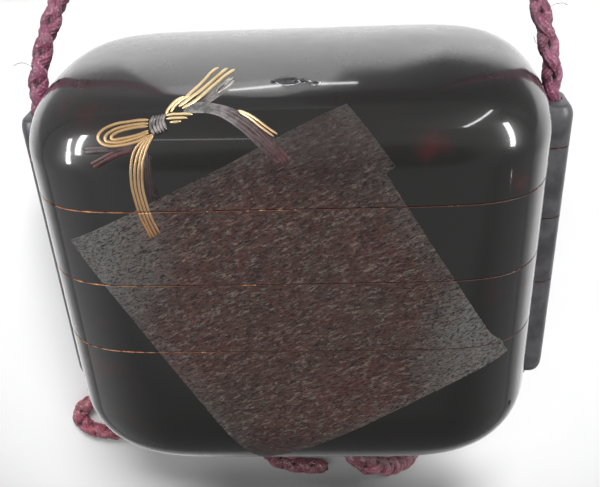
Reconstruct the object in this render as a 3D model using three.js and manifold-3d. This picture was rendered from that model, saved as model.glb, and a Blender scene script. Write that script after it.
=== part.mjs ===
// A wide inro: a pocket case of a lid, two trays and a deep lower case that stack on inner rims,
// with a cord runner on each side. It lies on its back. The silk cord is threaded through both
// runners, loops out past the lid and is tied in a bow under the lower case.
// Millimetres. X runs across the front, Y towards the lid, Z up out of the decorated front. The
// origin is under the middle of the case, on the surface that it lies on.
import * as THREE from 'three';
import { mergeVertices } from 'three/addons/utils/BufferGeometryUtils.js';
import Module from 'manifold-3d';

const wasm = await Module();
wasm.setup();

// Case
const caseWidth = 80;
const caseHeight = 71;
const caseDepth = 46;
const lidHeight = 16.2;
const trayHeight = 12.6;
const seamGap = 0.3;
const outlineAcross = 8;
const outlineThrough = 2.4;
const outlineSegments = 64;
const outsideSteps = 7;
const insideSteps = 4;
const crownShares = [0.25, 0.5, 0.75, 0.93];
const topEdge = { across: 9, through: 9.4, along: 9.2, turn: 78.5 };
const bottomEdge = { across: 17.5, through: 9.3, along: 14.8, turn: 90 };

// Walls and the inner rims that hold the pieces together
const wall = 2.4;
const floorThickness = 1.8;
const skirt = 1.1;
const rimHeight = 4;
const rimRoot = 2;
const rimClearance = 0.3;

// Cord runners
const runnerReach = 4.3;
const runnerHalfWidth = 4.6;
const runnerRound = 2.2;
const runnerEndRound = 1.1;
const runnerRoot = 1.9;
const runnerBelowTop = 9.5;
const runnerAboveBottom = 9.1;
const boreClearance = 0.3;
const boreSunk = 0.25;
const boreSides = 16;
const runnerCurveSteps = 5;

// Cord
const cordDiameter = 2.8;
const cordSides = 8;
const cordClearance = 0.8;
const knotGap = 0.5;
const knotHalf = { across: 5.1, along: 3.9, up: 4.7 };

const halfWidth = caseWidth / 2;
const halfDepth = caseDepth / 2;
const halfHeight = caseHeight / 2;
const lowerHeight = caseHeight - lidHeight - 2 * trayHeight;
const recessDepth = rimHeight + rimClearance;
const cutPast = 1;
const boreRadius = cordDiameter / 2 + boreClearance;
const boreX = halfWidth - boreSunk + boreRadius;

const lacquer = new THREE.MeshStandardMaterial({ color: 0x1b1715, roughness: 0.12, metalness: 0 });
const silk = new THREE.MeshStandardMaterial({ color: 0x8a3f4e, roughness: 0.75, metalness: 0 });

// Closed solids

function toSolid(geometry) {
  const bare = geometry.clone();
  bare.deleteAttribute('normal');
  bare.deleteAttribute('uv');
  const merged = mergeVertices(bare, 1e-4);
  const triangles = [];
  const index = merged.index.array;
  for (let i = 0; i < index.length; i += 3) {
    const [a, b, c] = [index[i], index[i + 1], index[i + 2]];
    if (a !== b && b !== c && c !== a) triangles.push(a, b, c);
  }
  const mesh = new wasm.Mesh({
    numProp: 3,
    vertProperties: new Float32Array(merged.attributes.position.array),
    triVerts: new Uint32Array(triangles),
  });
  return new wasm.Manifold(mesh);
}

function toGeometry(solid) {
  const mesh = solid.getMesh();
  const geometry = new THREE.BufferGeometry();
  geometry.setAttribute('position', new THREE.BufferAttribute(new Float32Array(mesh.vertProperties), 3));
  geometry.setIndex(new THREE.BufferAttribute(new Uint32Array(mesh.triVerts), 1));
  geometry.computeVertexNormals();
  return geometry;
}

// A point of the case's outline, a rounded rectangle that bulges towards front and back. The
// outline's corners sit half a step off the axes, so the middle of the back is one flat facet.
const halfStep = Math.PI / outlineSegments;
const facetReach = Math.cos(halfStep) ** (2 / outlineThrough);

function outlinePoint(step, acrossHalf, throughHalf) {
  const angle = Math.PI / 2 - (2 * step + 1) * halfStep;
  const c = Math.cos(angle);
  const s = Math.sin(angle);
  return [
    acrossHalf * Math.sign(c) * Math.abs(c) ** (2 / outlineAcross),
    throughHalf * Math.sign(s) * Math.abs(s) ** (2 / outlineThrough) / facetReach,
  ];
}

// A solid whose section at each level is the case's outline at that level's half sizes.
function stack(levels, peak = levels.at(-1).y) {
  const profile = [
    new THREE.Vector2(0, levels[0].y),
    ...levels.map((level) => new THREE.Vector2(1, level.y)),
    new THREE.Vector2(0, peak),
  ];
  const geometry = new THREE.LatheGeometry(profile, outlineSegments);
  const position = geometry.attributes.position;
  for (let i = 0; i < position.count; i += 1) {
    const row = i % profile.length;
    if (row === 0 || row === profile.length - 1) continue;
    const step = Math.floor(i / profile.length) % outlineSegments;
    const { across, through } = levels[row - 1];
    const [x, z] = outlinePoint(step, across, through);
    position.setXYZ(i, x, profile[row].y, z);
  }
  return toSolid(geometry);
}

function slab(inset, from, to) {
  const across = halfWidth - inset;
  const through = halfDepth - inset;
  return stack([{ y: from, across, through }, { y: to, across, through }]);
}

// Levels of an edge that rounds over from the wall, the inset growing towards the end.
function roundedLevels(edge, startY, direction, inset) {
  const steps = inset > 0 ? insideSteps : outsideSteps;
  return Array.from({ length: steps + 1 }, (_, i) => {
    const angle = THREE.MathUtils.degToRad((i / steps) * edge.turn);
    return {
      y: startY + direction * (edge.along - inset) * Math.sin(angle),
      across: halfWidth - inset - (edge.across - inset) * (1 - Math.cos(angle)),
      through: halfDepth - inset - (edge.through - inset) * (1 - Math.cos(angle)),
    };
  });
}

// The lid's form from its lower rim up: wall, rounded edge and a low crown. The crown goes on
// at the slope that the rounded edge ends with, across the lid and through it.
function lidForm(inset, from) {
  const turn = THREE.MathUtils.degToRad(topEdge.turn);
  const along = topEdge.along - inset;
  const edgeEnd = roundedLevels(topEdge, 0, 1, inset).at(-1);
  const slopeAcross = along / (topEdge.across - inset) / Math.tan(turn);
  const slopeThrough = along / (topEdge.through - inset) / Math.tan(turn);
  const crownRise = (slopeThrough * edgeEnd.through) / 2;
  const acrossPower = crownRise / (slopeAcross * edgeEnd.across);
  const shoulder = lidHeight - inset - crownRise - edgeEnd.y;
  const levels = [{ y: from, across: halfWidth - inset, through: halfDepth - inset }];
  levels.push(...roundedLevels(topEdge, shoulder, 1, inset));
  for (const share of crownShares) {
    levels.push({
      y: shoulder + edgeEnd.y + crownRise * share,
      across: edgeEnd.across * (1 - share) ** acrossPower,
      through: edgeEnd.through * Math.sqrt(1 - share),
    });
  }
  return stack(levels, lidHeight - inset);
}

// The lower case's form from its flat underside up to its wall's top.
function lowerForm(inset, to) {
  const levels = roundedLevels(bottomEdge, bottomEdge.along, -1, inset).reverse();
  levels.push({ y: to, across: halfWidth - inset, through: halfDepth - inset });
  return stack(levels);
}

// The rim that stands up inside the next piece's skirt, still solid.
function rimBlock(from) {
  return slab(skirt + rimClearance, from - rimRoot, from + rimHeight);
}

// Cord runners, one bar along each side, cut to each piece's height

function runnerBar(side, from, to, roundEnd) {
  const outline = new THREE.Shape();
  const reach = halfWidth + runnerReach;
  const root = halfWidth - runnerRoot;
  const roundFrom = roundEnd === 'low' ? runnerEndRound : 0;
  const roundTo = roundEnd === 'high' ? runnerEndRound : 0;
  outline.moveTo(root, from);
  outline.lineTo(reach - roundFrom, from);
  if (roundFrom) outline.absarc(reach - roundFrom, from + roundFrom, roundFrom, -Math.PI / 2, 0, false);
  outline.lineTo(reach, to - roundTo);
  if (roundTo) outline.absarc(reach - roundTo, to - roundTo, roundTo, 0, Math.PI / 2, false);
  outline.lineTo(root, to);
  const sideOn = new THREE.ExtrudeGeometry(outline, {
    depth: 2 * runnerHalfWidth, bevelEnabled: false, curveSegments: runnerCurveSteps,
  });
  sideOn.translate(0, 0, -runnerHalfWidth);

  const section = new THREE.Shape();
  const flat = runnerHalfWidth - runnerRound;
  section.moveTo(root - cutPast, -runnerHalfWidth);
  section.lineTo(reach - runnerRound, -runnerHalfWidth);
  section.absarc(reach - runnerRound, -flat, runnerRound, -Math.PI / 2, 0, false);
  section.absarc(reach - runnerRound, flat, runnerRound, 0, Math.PI / 2, false);
  section.lineTo(root - cutPast, runnerHalfWidth);
  const endOn = new THREE.ExtrudeGeometry(section, {
    depth: to - from + 2 * cutPast, bevelEnabled: false, curveSegments: runnerCurveSteps,
  });
  endOn.rotateX(Math.PI / 2);
  endOn.translate(0, to + cutPast, 0);

  const bar = toSolid(sideOn).intersect(toSolid(endOn));
  return side > 0 ? bar : bar.mirror([1, 0, 0]);
}

function withRunners(form, from, to, roundEnd) {
  return [-1, 1].reduce((body, side) => body.add(runnerBar(side, from, to, roundEnd)), form);
}

function boreRunners(body) {
  const bore = new THREE.CylinderGeometry(boreRadius, boreRadius, 2 * caseHeight, boreSides);
  return [-1, 1].reduce(
    (rest, side) => rest.subtract(toSolid(bore.clone().translate(side * boreX, 0, 0))),
    body,
  );
}

// Pieces of the case, each from its own lower edge

function makeLid() {
  const outer = withRunners(lidForm(0, 0), 0, lidHeight - runnerBelowTop, 'high');
  const recess = slab(skirt, -cutPast, recessDepth);
  const hollow = lidForm(wall, recessDepth - cutPast);
  return boreRunners(outer.subtract(recess).subtract(hollow));
}

function makeTray() {
  const top = trayHeight - seamGap;
  const outer = withRunners(slab(0, 0, top), 0, top, 'none').add(rimBlock(top));
  const recess = slab(skirt, -cutPast, recessDepth);
  const hollow = slab(wall, recessDepth + floorThickness, top + rimHeight + cutPast);
  return boreRunners(outer.subtract(recess).subtract(hollow));
}

function makeLowerCase() {
  const top = lowerHeight - seamGap;
  const outer = withRunners(lowerForm(0, top), runnerAboveBottom, top, 'low').add(rimBlock(top));
  return boreRunners(outer.subtract(lowerForm(wall, top + rimHeight + cutPast)));
}

// Cord routes, each a list of points from where it leaves the knot

const rest = cordDiameter / 2 + 0.05;
const middle = halfDepth;
const under = -halfHeight - cordDiameter / 2 - cordClearance;
const mouthTop = halfHeight - runnerBelowTop;
const mouthBottom = -halfHeight + runnerAboveBottom;

const knotCentre = [0, -halfHeight - knotHalf.along - 1.2, middle];

const cordRoute = [
  [-13, under, middle], [-22, under, middle], [-30, under + 1.3, middle],
  [-36.5, under + 3.9, middle], [-40.4, mouthBottom - 3.2, middle], [-boreX, mouthBottom - 0.3, middle],
  [-boreX, mouthBottom + 8, middle], [-boreX, -6, middle], [-boreX, 8, middle], [-boreX, 20, middle],
  [-boreX, mouthTop, middle], [-boreX + 0.4, 31, middle - 0.3], [-boreX + 2, 37, 20.8],
  [-boreX + 4.2, 43, 16.6], [-boreX + 6.4, 49.5, 10.8], [-boreX + 8.6, 56.5, 5.2], [-boreX + 10.6, 64, 2],
  [-29.6, 72, rest], [-27.5, 82, rest], [-25, 92, rest], [-20, 102.5, rest], [-10.5, 110.5, rest],
  [2, 112.5, rest], [13.5, 109, rest], [21.5, 100.5, rest], [25.5, 90, rest], [28, 80, rest],
  [30.6, 71, rest], [boreX - 9, 63, 2.3], [boreX - 7, 56, 5.8], [boreX - 5.2, 49.5, 11],
  [boreX - 3.6, 43, 16.8], [boreX - 1.9, 37, 21], [boreX - 0.4, 31, middle - 0.2],
  [boreX, mouthTop, middle], [boreX, 20, middle], [boreX, 8, middle], [boreX, -6, middle],
  [boreX, mouthBottom + 8, middle], [boreX, mouthBottom - 0.3, middle], [40.4, mouthBottom - 3.2, middle],
  [36.5, under + 3.9, middle], [30, under + 1.3, middle], [22, under, middle], [13, under, middle],
];

const leftLoopRoute = [
  [-13, -46.5, 26], [-24, -49.5, 20.5], [-34, -51, 12.5], [-43, -51.8, 5.6], [-50, -52.4, 2.2],
  [-55.6, -54.2, rest], [-59, -59.4, rest], [-56.4, -64.8, rest], [-49.5, -66.6, rest],
  [-40, -64, rest], [-30, -59, 2.6], [-20.5, -53.4, 7], [-12.5, -48.4, 13],
];

const rightLoopRoute = [
  [10.5, -46.5, 29.5], [17.5, -53.5, 24.5], [22.5, -60.5, 15.5], [25.6, -66.5, 7.2], [26, -71.4, 2.4],
  [23.6, -76.4, rest], [18, -79, rest], [11.6, -77.6, rest], [8, -72.6, rest], [6.4, -66, 2.6],
  [5.2, -60, 6], [4.4, -54, 10.2],
];

const leftTailRoute = [
  [-3.2, -52.5, 20.4], [-6.8, -59, 14], [-10.4, -65.2, 7], [-12.2, -71, 2.6], [-9.8, -75.6, rest],
  [-4.4, -77.6, rest], [1.8, -77.9, rest],
];

const rightTailRoute = [
  [14.6, -47.5, 17.5], [23.6, -50.6, 11.4], [30.6, -53.6, 5.4], [36, -57.6, 2], [38.6, -62.8, rest],
];

// Where a strand leaves the knot, on the line from its centre to the strand's next point.
function knotExit(next) {
  const centre = new THREE.Vector3(...knotCentre);
  const away = new THREE.Vector3(...next).sub(centre).normalize();
  const reach = 1 / Math.hypot(away.x / knotHalf.across, away.y / knotHalf.along, away.z / knotHalf.up);
  return centre.addScaledVector(away, reach + knotGap).toArray();
}

function loop(points) {
  return [knotExit(points[0]), ...points, knotExit(points.at(-1))];
}

function tail(points) {
  return [knotExit(points[0]), ...points];
}

// A smooth line whose even steps fall on the points of the route it is given.
class CordLine extends THREE.CatmullRomCurve3 {
  getPointAt(share, target) {
    return this.getPoint(share, target);
  }

  getTangentAt(share, target) {
    return this.getTangent(share, target);
  }
}

function tube(points) {
  const line = new CordLine(points.map((point) => new THREE.Vector3(...point)), false, 'centripetal');
  const section = new THREE.Shape(
    Array.from({ length: cordSides }, (_, i) => {
      const angle = ((i + 0.5) / cordSides) * 2 * Math.PI;
      return new THREE.Vector2(Math.cos(angle), Math.sin(angle)).multiplyScalar(cordDiameter / 2);
    }),
  );
  const steps = points.length - 1;
  return toGeometry(toSolid(new THREE.ExtrudeGeometry(section, { steps, extrudePath: line })));
}

function knot() {
  const ball = new THREE.SphereGeometry(1, 16, 10);
  ball.scale(knotHalf.across, knotHalf.along, knotHalf.up);
  return toGeometry(toSolid(ball));
}

// The object

const inro = new THREE.Group();
const stackOfPieces = new THREE.Group();
stackOfPieces.position.set(0, -halfHeight, middle);
inro.add(stackOfPieces);

function addPiece(parent, name, geometry, material, place = [0, 0, 0]) {
  const mesh = new THREE.Mesh(geometry, material);
  mesh.name = name;
  mesh.position.set(...place);
  parent.add(mesh);
}

const trayGeometry = toGeometry(makeTray());
addPiece(stackOfPieces, 'lower_case', toGeometry(makeLowerCase()), lacquer);
addPiece(stackOfPieces, 'middle_tray', trayGeometry, lacquer, [0, lowerHeight, 0]);
addPiece(stackOfPieces, 'upper_tray', trayGeometry, lacquer, [0, lowerHeight + trayHeight, 0]);
addPiece(stackOfPieces, 'lid', toGeometry(makeLid()), lacquer, [0, lowerHeight + 2 * trayHeight, 0]);
addPiece(inro, 'cord', tube(loop(cordRoute)), silk);
addPiece(inro, 'bow_loop_left', tube(loop(leftLoopRoute)), silk);
addPiece(inro, 'bow_loop_right', tube(loop(rightLoopRoute)), silk);
addPiece(inro, 'bow_tail_left', tube(tail(leftTailRoute)), silk);
addPiece(inro, 'bow_tail_right', tube(tail(rightTailRoute)), silk);
addPiece(inro, 'bow_knot', knot(), silk, knotCentre);

export default inro;
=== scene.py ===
# A wide lacquered inro lying on its back: lid, two trays and a deep lower case, decorated with a
# dark grained board and a raised gold bow, strung on a braided silk cord.
import math

import bmesh
import bpy
import numpy as np
from mathutils import Matrix, Vector, noise


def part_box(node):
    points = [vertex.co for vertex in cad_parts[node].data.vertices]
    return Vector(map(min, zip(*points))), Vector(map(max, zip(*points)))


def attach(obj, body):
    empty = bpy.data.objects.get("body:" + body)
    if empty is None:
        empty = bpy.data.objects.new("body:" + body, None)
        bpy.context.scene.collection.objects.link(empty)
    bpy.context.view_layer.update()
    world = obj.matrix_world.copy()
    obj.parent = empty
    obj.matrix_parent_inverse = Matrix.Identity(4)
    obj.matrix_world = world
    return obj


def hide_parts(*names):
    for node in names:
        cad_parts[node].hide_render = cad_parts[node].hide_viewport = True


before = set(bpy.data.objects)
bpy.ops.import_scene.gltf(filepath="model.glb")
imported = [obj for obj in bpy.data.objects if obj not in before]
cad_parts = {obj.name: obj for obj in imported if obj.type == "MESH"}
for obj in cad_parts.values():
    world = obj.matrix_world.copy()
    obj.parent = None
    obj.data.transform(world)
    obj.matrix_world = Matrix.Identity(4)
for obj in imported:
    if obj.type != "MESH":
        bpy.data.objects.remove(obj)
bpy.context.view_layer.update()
mm = 0.001
print("frame loaded")


# Camera, at the photograph's angle

cameraView = {
    "place": (9.52, 72.43, 144.91),  # mm
    "turn": (-30.95, 2.139, -2.462),  # degrees
    "lens": 48.03,
    "shift": (-0.0158, 0.0035),
}


def makeCamera(view):
    data = bpy.data.cameras.new("photoCamera")
    data.lens = view["lens"]
    data.sensor_width = 36
    data.shift_x, data.shift_y = view["shift"]
    data.clip_start = 0.01
    camera = bpy.data.objects.new("photoCamera", data)
    camera.location = Vector(view["place"]) * mm
    camera.rotation_euler = [math.radians(angle) for angle in view["turn"]]
    bpy.context.scene.collection.objects.link(camera)
    bpy.context.scene.camera = camera


makeCamera(cameraView)
print("camera made")


# Node helpers

def newMaterial(name):
    material = bpy.data.materials.new(name)
    material.use_nodes = True
    tree = material.node_tree
    shader = tree.nodes["Principled BSDF"]
    return material, tree, shader


def addNode(tree, kind, settings=None, inputs=None):
    node = tree.nodes.new(kind)
    for key, value in (settings or {}).items():
        setattr(node, key, value)
    for socket, value in (inputs or {}).items():
        setInput(tree, node, socket, value)
    return node


def setInput(tree, node, socket, value):
    target = node.inputs[socket]
    if isinstance(value, bpy.types.NodeSocket):
        tree.links.new(value, target)
    else:
        target.default_value = value


def rawCoords(tree, kind="Object"):
    return addNode(tree, "ShaderNodeTexCoord").outputs[kind]


def objectCoords(tree, stretch=(1, 1, 1), turn=0):
    # a pattern on these is drawn out by stretch, along axes turned by so many degrees
    inputs = {"Vector": rawCoords(tree), "Rotation": (0, 0, math.radians(turn)), "Scale": stretch}
    return addNode(tree, "ShaderNodeMapping", {"vector_type": "TEXTURE"}, inputs).outputs["Vector"]


def placesOf(tree, coords):
    split = addNode(tree, "ShaderNodeSeparateXYZ", None, {"Vector": coords})
    return split.outputs["X"], split.outputs["Y"], split.outputs["Z"]


def noiseOf(tree, vector, scale, detail=3, roughness=0.5, distortion=0):
    inputs = {
        "Vector": vector, "Scale": scale, "Detail": detail, "Roughness": roughness, "Distortion": distortion,
    }
    return addNode(tree, "ShaderNodeTexNoise", None, inputs).outputs["Fac"]


def rangeOf(tree, value, low, high, toLow=0, toHigh=1):
    settings = {"clamp": True, "interpolation_type": "SMOOTHSTEP"}
    inputs = {"Value": value, "From Min": low, "From Max": high, "To Min": toLow, "To Max": toHigh}
    return addNode(tree, "ShaderNodeMapRange", settings, inputs).outputs["Result"]


def mathOf(tree, kind, first, second=0.5):
    return addNode(tree, "ShaderNodeMath", {"operation": kind}, {0: first, 1: second}).outputs["Value"]


def timesOf(tree, first, second):
    return mathOf(tree, "MULTIPLY", first, second)


def mixOf(tree, share, first, second, kind="MIX"):
    node = addNode(tree, "ShaderNodeMix", {"data_type": "RGBA", "blend_type": kind}, {"Factor": share})
    sockets = [socket for socket in node.inputs if socket.type == "RGBA"]
    for target, value in zip(sockets, (first, second)):
        if isinstance(value, bpy.types.NodeSocket):
            tree.links.new(value, target)
        else:
            target.default_value = (*value, 1)
    return [socket for socket in node.outputs if socket.type == "RGBA"][0]


def blendOf(tree, value, low, high, first, second):
    # from the first colour to the second as the value goes from low to high
    return mixOf(tree, rangeOf(tree, value, low, high), first, second)


def rampOf(tree, value, stops):
    # a grey tone that follows the value through stops of place and tone
    node = addNode(tree, "ShaderNodeValToRGB", None, {"Fac": value})
    elements = node.color_ramp.elements
    for element, (place, tone) in ((elements[0], stops[0]), (elements[1], stops[-1])):
        element.position = place
        element.color = (tone, tone, tone, 1)
    for place, tone in stops[1:-1]:
        elements.new(place).color = (tone, tone, tone, 1)
    return node.outputs["Color"]


def attributeOf(tree, name):
    return addNode(tree, "ShaderNodeAttribute", {"attribute_name": name}).outputs["Fac"]


def bumpOf(tree, shader, height, distance, strength):
    inputs = {"Strength": strength, "Distance": distance, "Height": height}
    bump = addNode(tree, "ShaderNodeBump", None, inputs)
    tree.links.new(bump.outputs["Normal"], shader.inputs["Normal"])


def dress(tree, shader, colour, roughness, values=None):
    # the shader's colour, roughness and other sockets, each linked or set
    for socket, value in {"Base Color": colour, "Roughness": roughness, **(values or {})}.items():
        setInput(tree, shader, socket, value)


# Mesh helpers. Points are in mm and meshes in metres.

def newPiece(name, points, faces, materials, faceMaterials=None):
    mesh = bpy.data.meshes.new(name)
    mesh.from_pydata((np.asarray(points, dtype=float) * mm).tolist(), [], faces)
    for material in materials:
        mesh.materials.append(material)
    if faceMaterials is not None:
        mesh.polygons.foreach_set("material_index", faceMaterials)
    mesh.polygons.foreach_set("use_smooth", [True] * len(mesh.polygons))
    mesh.validate()
    mesh.update()
    piece = bpy.data.objects.new(name, mesh)
    bpy.context.scene.collection.objects.link(piece)
    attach(piece, "root")
    return piece


def unit(vectors):
    return vectors / np.linalg.norm(vectors, axis=-1, keepdims=True)


def runAlong(points):
    # how far along the line each point is
    return np.concatenate([[0], np.cumsum(np.linalg.norm(np.diff(points, axis=0), axis=1))])


def ringsAround(centre, across, up, count, widths, heights):
    # rings of count points round a line; the sizes may change along it
    rings = []
    for i in range(count):
        angle = 2 * math.pi * i / count
        rings.append(centre + across * (widths * math.cos(angle)) + up * (heights * math.sin(angle)))
    return np.stack(rings, axis=1)


def tubeFaces(total, count):
    # quads between the rings, and a flat face at each end
    faces = []
    for j in range(total - 1):
        for i in range(count):
            k = (i + 1) % count
            faces.append((j * count + i, j * count + k, (j + 1) * count + k, (j + 1) * count + i))
    faces.append(tuple(range(count))[::-1])
    faces.append(tuple((total - 1) * count + i for i in range(count)))
    return faces


class MeshParts:
    # gathers points, faces and the material number of each face
    def __init__(self):
        self.points = []
        self.faces = []
        self.kinds = []

    def add(self, points, faces, kinds):
        start = len(self.points)
        self.points.extend(points)
        self.faces.extend([tuple(start + i for i in face) for face in faces])
        self.kinds.extend(kinds)

    def piece(self, name, materials, slot):
        return newPiece(name, self.points, self.faces, materials, self.kinds)


# Cord routes, in mm, as the case's solids have them

caseSize = {"width": 80, "height": 71, "depth": 46}
halfWidth = caseSize["width"] / 2
halfHeight = caseSize["height"] / 2
halfDepth = caseSize["depth"] / 2
middle = halfDepth  # height of the cord channels above the table

cordForm = {
    "diameter": 2.8,
    "slackDiameter": 3.7,  # the braid swells where nothing pulls on it
    "clearance": 0.8,
    "mouthBelowTop": 9.5,
    "mouthAboveBottom": 9.1,
    "knotHalf": (5.1, 3.9, 4.7),
    "knotGap": 0.5,  # from the knot to where each cord starts
}

rest = cordForm["diameter"] / 2 + 0.05
under = -halfHeight - cordForm["diameter"] / 2 - cordForm["clearance"]
mouthTop = halfHeight - cordForm["mouthBelowTop"]
mouthBottom = -halfHeight + cordForm["mouthAboveBottom"]
channel = {"left": -40.95, "right": 41.2, "radius": 1.7}
leftX, rightX = channel["left"], channel["right"]
knotCentre = Vector((0, -halfHeight - cordForm["knotHalf"][1] - 1.2, middle))

cordRoute = [
    (-13, under, middle), (-22, under, middle), (-30, under + 1.3, middle),
    (-36.5, under + 3.9, middle), (-40, mouthBottom - 3.2, middle), (leftX, mouthBottom - 0.3, middle),
    (leftX, mouthBottom + 8, middle), (leftX, -6, middle), (leftX, 8, middle),
    (leftX, 20, middle), (leftX, mouthTop, middle), (leftX + 0.5, 31, middle - 0.3),
    (leftX + 2.3, 37, 20.8), (leftX + 4.6, 43, 16.6), (leftX + 6.8, 49.5, 10.8),
    (leftX + 8.8, 56.5, 5.2), (leftX + 10.6, 64, 2), (-29.6, 72, rest), (-27.5, 82, rest),
    (-25, 92, rest), (-20, 102.5, rest), (-10.5, 110.5, rest), (2, 112.5, rest), (13.5, 109, rest),
    (21.5, 100.5, rest), (25.5, 90, rest), (28, 80, rest), (30.6, 71, rest), (rightX - 8.8, 63, 2.3),
    (rightX - 6.8, 56, 5.8), (rightX - 5, 49.5, 11), (rightX - 3.4, 43, 16.8),
    (rightX - 1.8, 37, 21), (rightX - 0.4, 31, middle - 0.2), (rightX, mouthTop, middle),
    (rightX, 20, middle), (rightX, 8, middle), (rightX, -6, middle), (rightX, mouthBottom + 8, middle),
    (rightX, mouthBottom - 0.3, middle), (40.2, mouthBottom - 3.2, middle), (36.5, under + 3.9, middle),
    (30, under + 1.3, middle), (22, under, middle), (13, under, middle),
]

slackRest = cordForm["slackDiameter"] / 2

leftLoopRoute = [
    (-13, -46.5, 26), (-24, -49.5, 20.5), (-34, -51.4, 12.5), (-43, -53, 5.8), (-49.5, -54, 2.6),
    (-54.2, -56, slackRest), (-57.4, -60, slackRest), (-55.2, -64, slackRest), (-49, -65.4, slackRest),
    (-40, -63.4, slackRest), (-30, -59, 2.8), (-20.5, -53.4, 7), (-12.5, -48.4, 13),
]

rightLoopRoute = [
    (10.5, -46.5, 29.5), (16.5, -53.5, 24.5), (20.4, -60.5, 15.5), (22.6, -66.5, 7.2), (23.2, -71.2, 2.6),
    (21.6, -75.6, slackRest), (17, -78, slackRest), (11, -77, slackRest), (7.8, -72.4, slackRest),
    (6.4, -66, 2.8), (5.2, -60, 6), (4.4, -54, 10.2),
]

leftTailRoute = [
    (-3.2, -52.5, 20.4), (-6.8, -59, 14), (-10.4, -65.2, 7), (-12.2, -71, 2.8), (-9.8, -75.4, slackRest),
    (-4.4, -77.2, slackRest), (1.8, -77.4, slackRest),
]

rightTailRoute = [
    (14.6, -47.5, 17.5), (23.6, -50.6, 11.4), (30.6, -53.6, 5.4), (36, -57.6, 2.3), (38.6, -62.8, slackRest),
]


def knotExit(towards):
    away = (Vector(towards) - knotCentre).normalized()
    reach = 1 / math.sqrt(sum((a / h) ** 2 for a, h in zip(away, cordForm["knotHalf"])))
    return tuple(knotCentre + away * (reach + cordForm["knotGap"]))


def loopRoute(points):
    return [knotExit(points[0]), *points, knotExit(points[-1])]


def tailRoute(points):
    return [knotExit(points[0]), *points]


def smoothLine(points, step):
    # centripetal spline through the points, then even steps along it
    p = np.array(points, dtype=float)
    p = np.vstack([2 * p[0] - p[1], p, 2 * p[-1] - p[-2]])
    line = []
    for i in range(1, len(p) - 2):
        a, b, c, d = p[i - 1], p[i], p[i + 1], p[i + 2]
        t0 = 0
        t1 = t0 + np.linalg.norm(b - a) ** 0.5
        t2 = t1 + np.linalg.norm(c - b) ** 0.5
        t3 = t2 + np.linalg.norm(d - c) ** 0.5
        t = np.linspace(t1, t2, 24, endpoint=False)[:, None]
        ab = (t1 - t) / (t1 - t0) * a + (t - t0) / (t1 - t0) * b
        bc = (t2 - t) / (t2 - t1) * b + (t - t1) / (t2 - t1) * c
        cd = (t3 - t) / (t3 - t2) * c + (t - t2) / (t3 - t2) * d
        abc = (t2 - t) / (t2 - t0) * ab + (t - t0) / (t2 - t0) * bc
        bcd = (t3 - t) / (t3 - t1) * bc + (t - t1) / (t3 - t1) * cd
        line.append((t2 - t) / (t2 - t1) * abc + (t - t1) / (t2 - t1) * bcd)
    line = np.vstack([*line, p[-2][None]])
    run = runAlong(line)
    count = max(4, round(run[-1] / step))
    even = np.linspace(0, run[-1], count + 1)
    return np.column_stack([np.interp(even, run, line[:, k]) for k in range(3)]), run[-1]


def framesAlong(line):
    # two directions across the line at each of its points, that do not twist along it
    tangents = unit(np.gradient(line, axis=0))
    side = np.cross(tangents[0], (0, 0, 1))
    if np.linalg.norm(side) < 0.1:
        side = np.cross(tangents[0], (1, 0, 0))
    sides = []
    for tangent in tangents:
        side = unit(side - tangent * np.dot(side, tangent))
        sides.append(side)
    sides = np.array(sides)
    return sides, np.cross(tangents, sides)


braid = {  # the strands' sizes are shares of the cord's diameter
    "strands": 4,
    "strandWide": 0.335,
    "strandThick": 0.235,
    "carry": 0.062,  # how far a strand moves in and out as it crosses
    "sides": 8,
    "step": 0.36,
}


def braidMesh(line, pitch, diameter):
    # strands wind both ways round the line and pass over and under each other
    run = runAlong(line)
    sides, ups = framesAlong(line)
    parts = MeshParts()
    halfWide = braid["strandWide"] * diameter
    halfThick = braid["strandThick"] * diameter
    carry = braid["carry"] * diameter
    reach = diameter / 2 - halfThick - carry * 0.6
    count = braid["sides"]
    values = []
    for strand in range(braid["strands"]):
        way = 1 if strand % 2 == 0 else -1
        turn = way * 2 * math.pi * run / pitch + math.pi * (strand // 2)
        over = np.cos(4 * math.pi * run / pitch + (0 if way > 0 else math.pi))
        out = np.cos(turn)[:, None] * sides + np.sin(turn)[:, None] * ups
        centre = line + out * (reach + carry * over)[:, None]
        along = unit(np.gradient(centre, axis=0))
        across = unit(np.cross(along, out))
        lift = np.cross(across, along)
        swell = 1 + 0.06 * np.sin(run * 1.7 + strand * 2.1) + 0.04 * np.sin(run * 4.3 + strand)
        swell = swell[:, None]
        rings = ringsAround(centre, across, lift, count, halfWide * swell, halfThick * swell)
        faces = tubeFaces(len(line), count)
        parts.add(rings.reshape(-1, 3).tolist(), faces, [0] * len(faces))
        outward = np.linalg.norm(rings - line[:, None], axis=2) / (diameter / 2)
        values.append((run, strand, outward.ravel()))
    return parts, values


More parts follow.
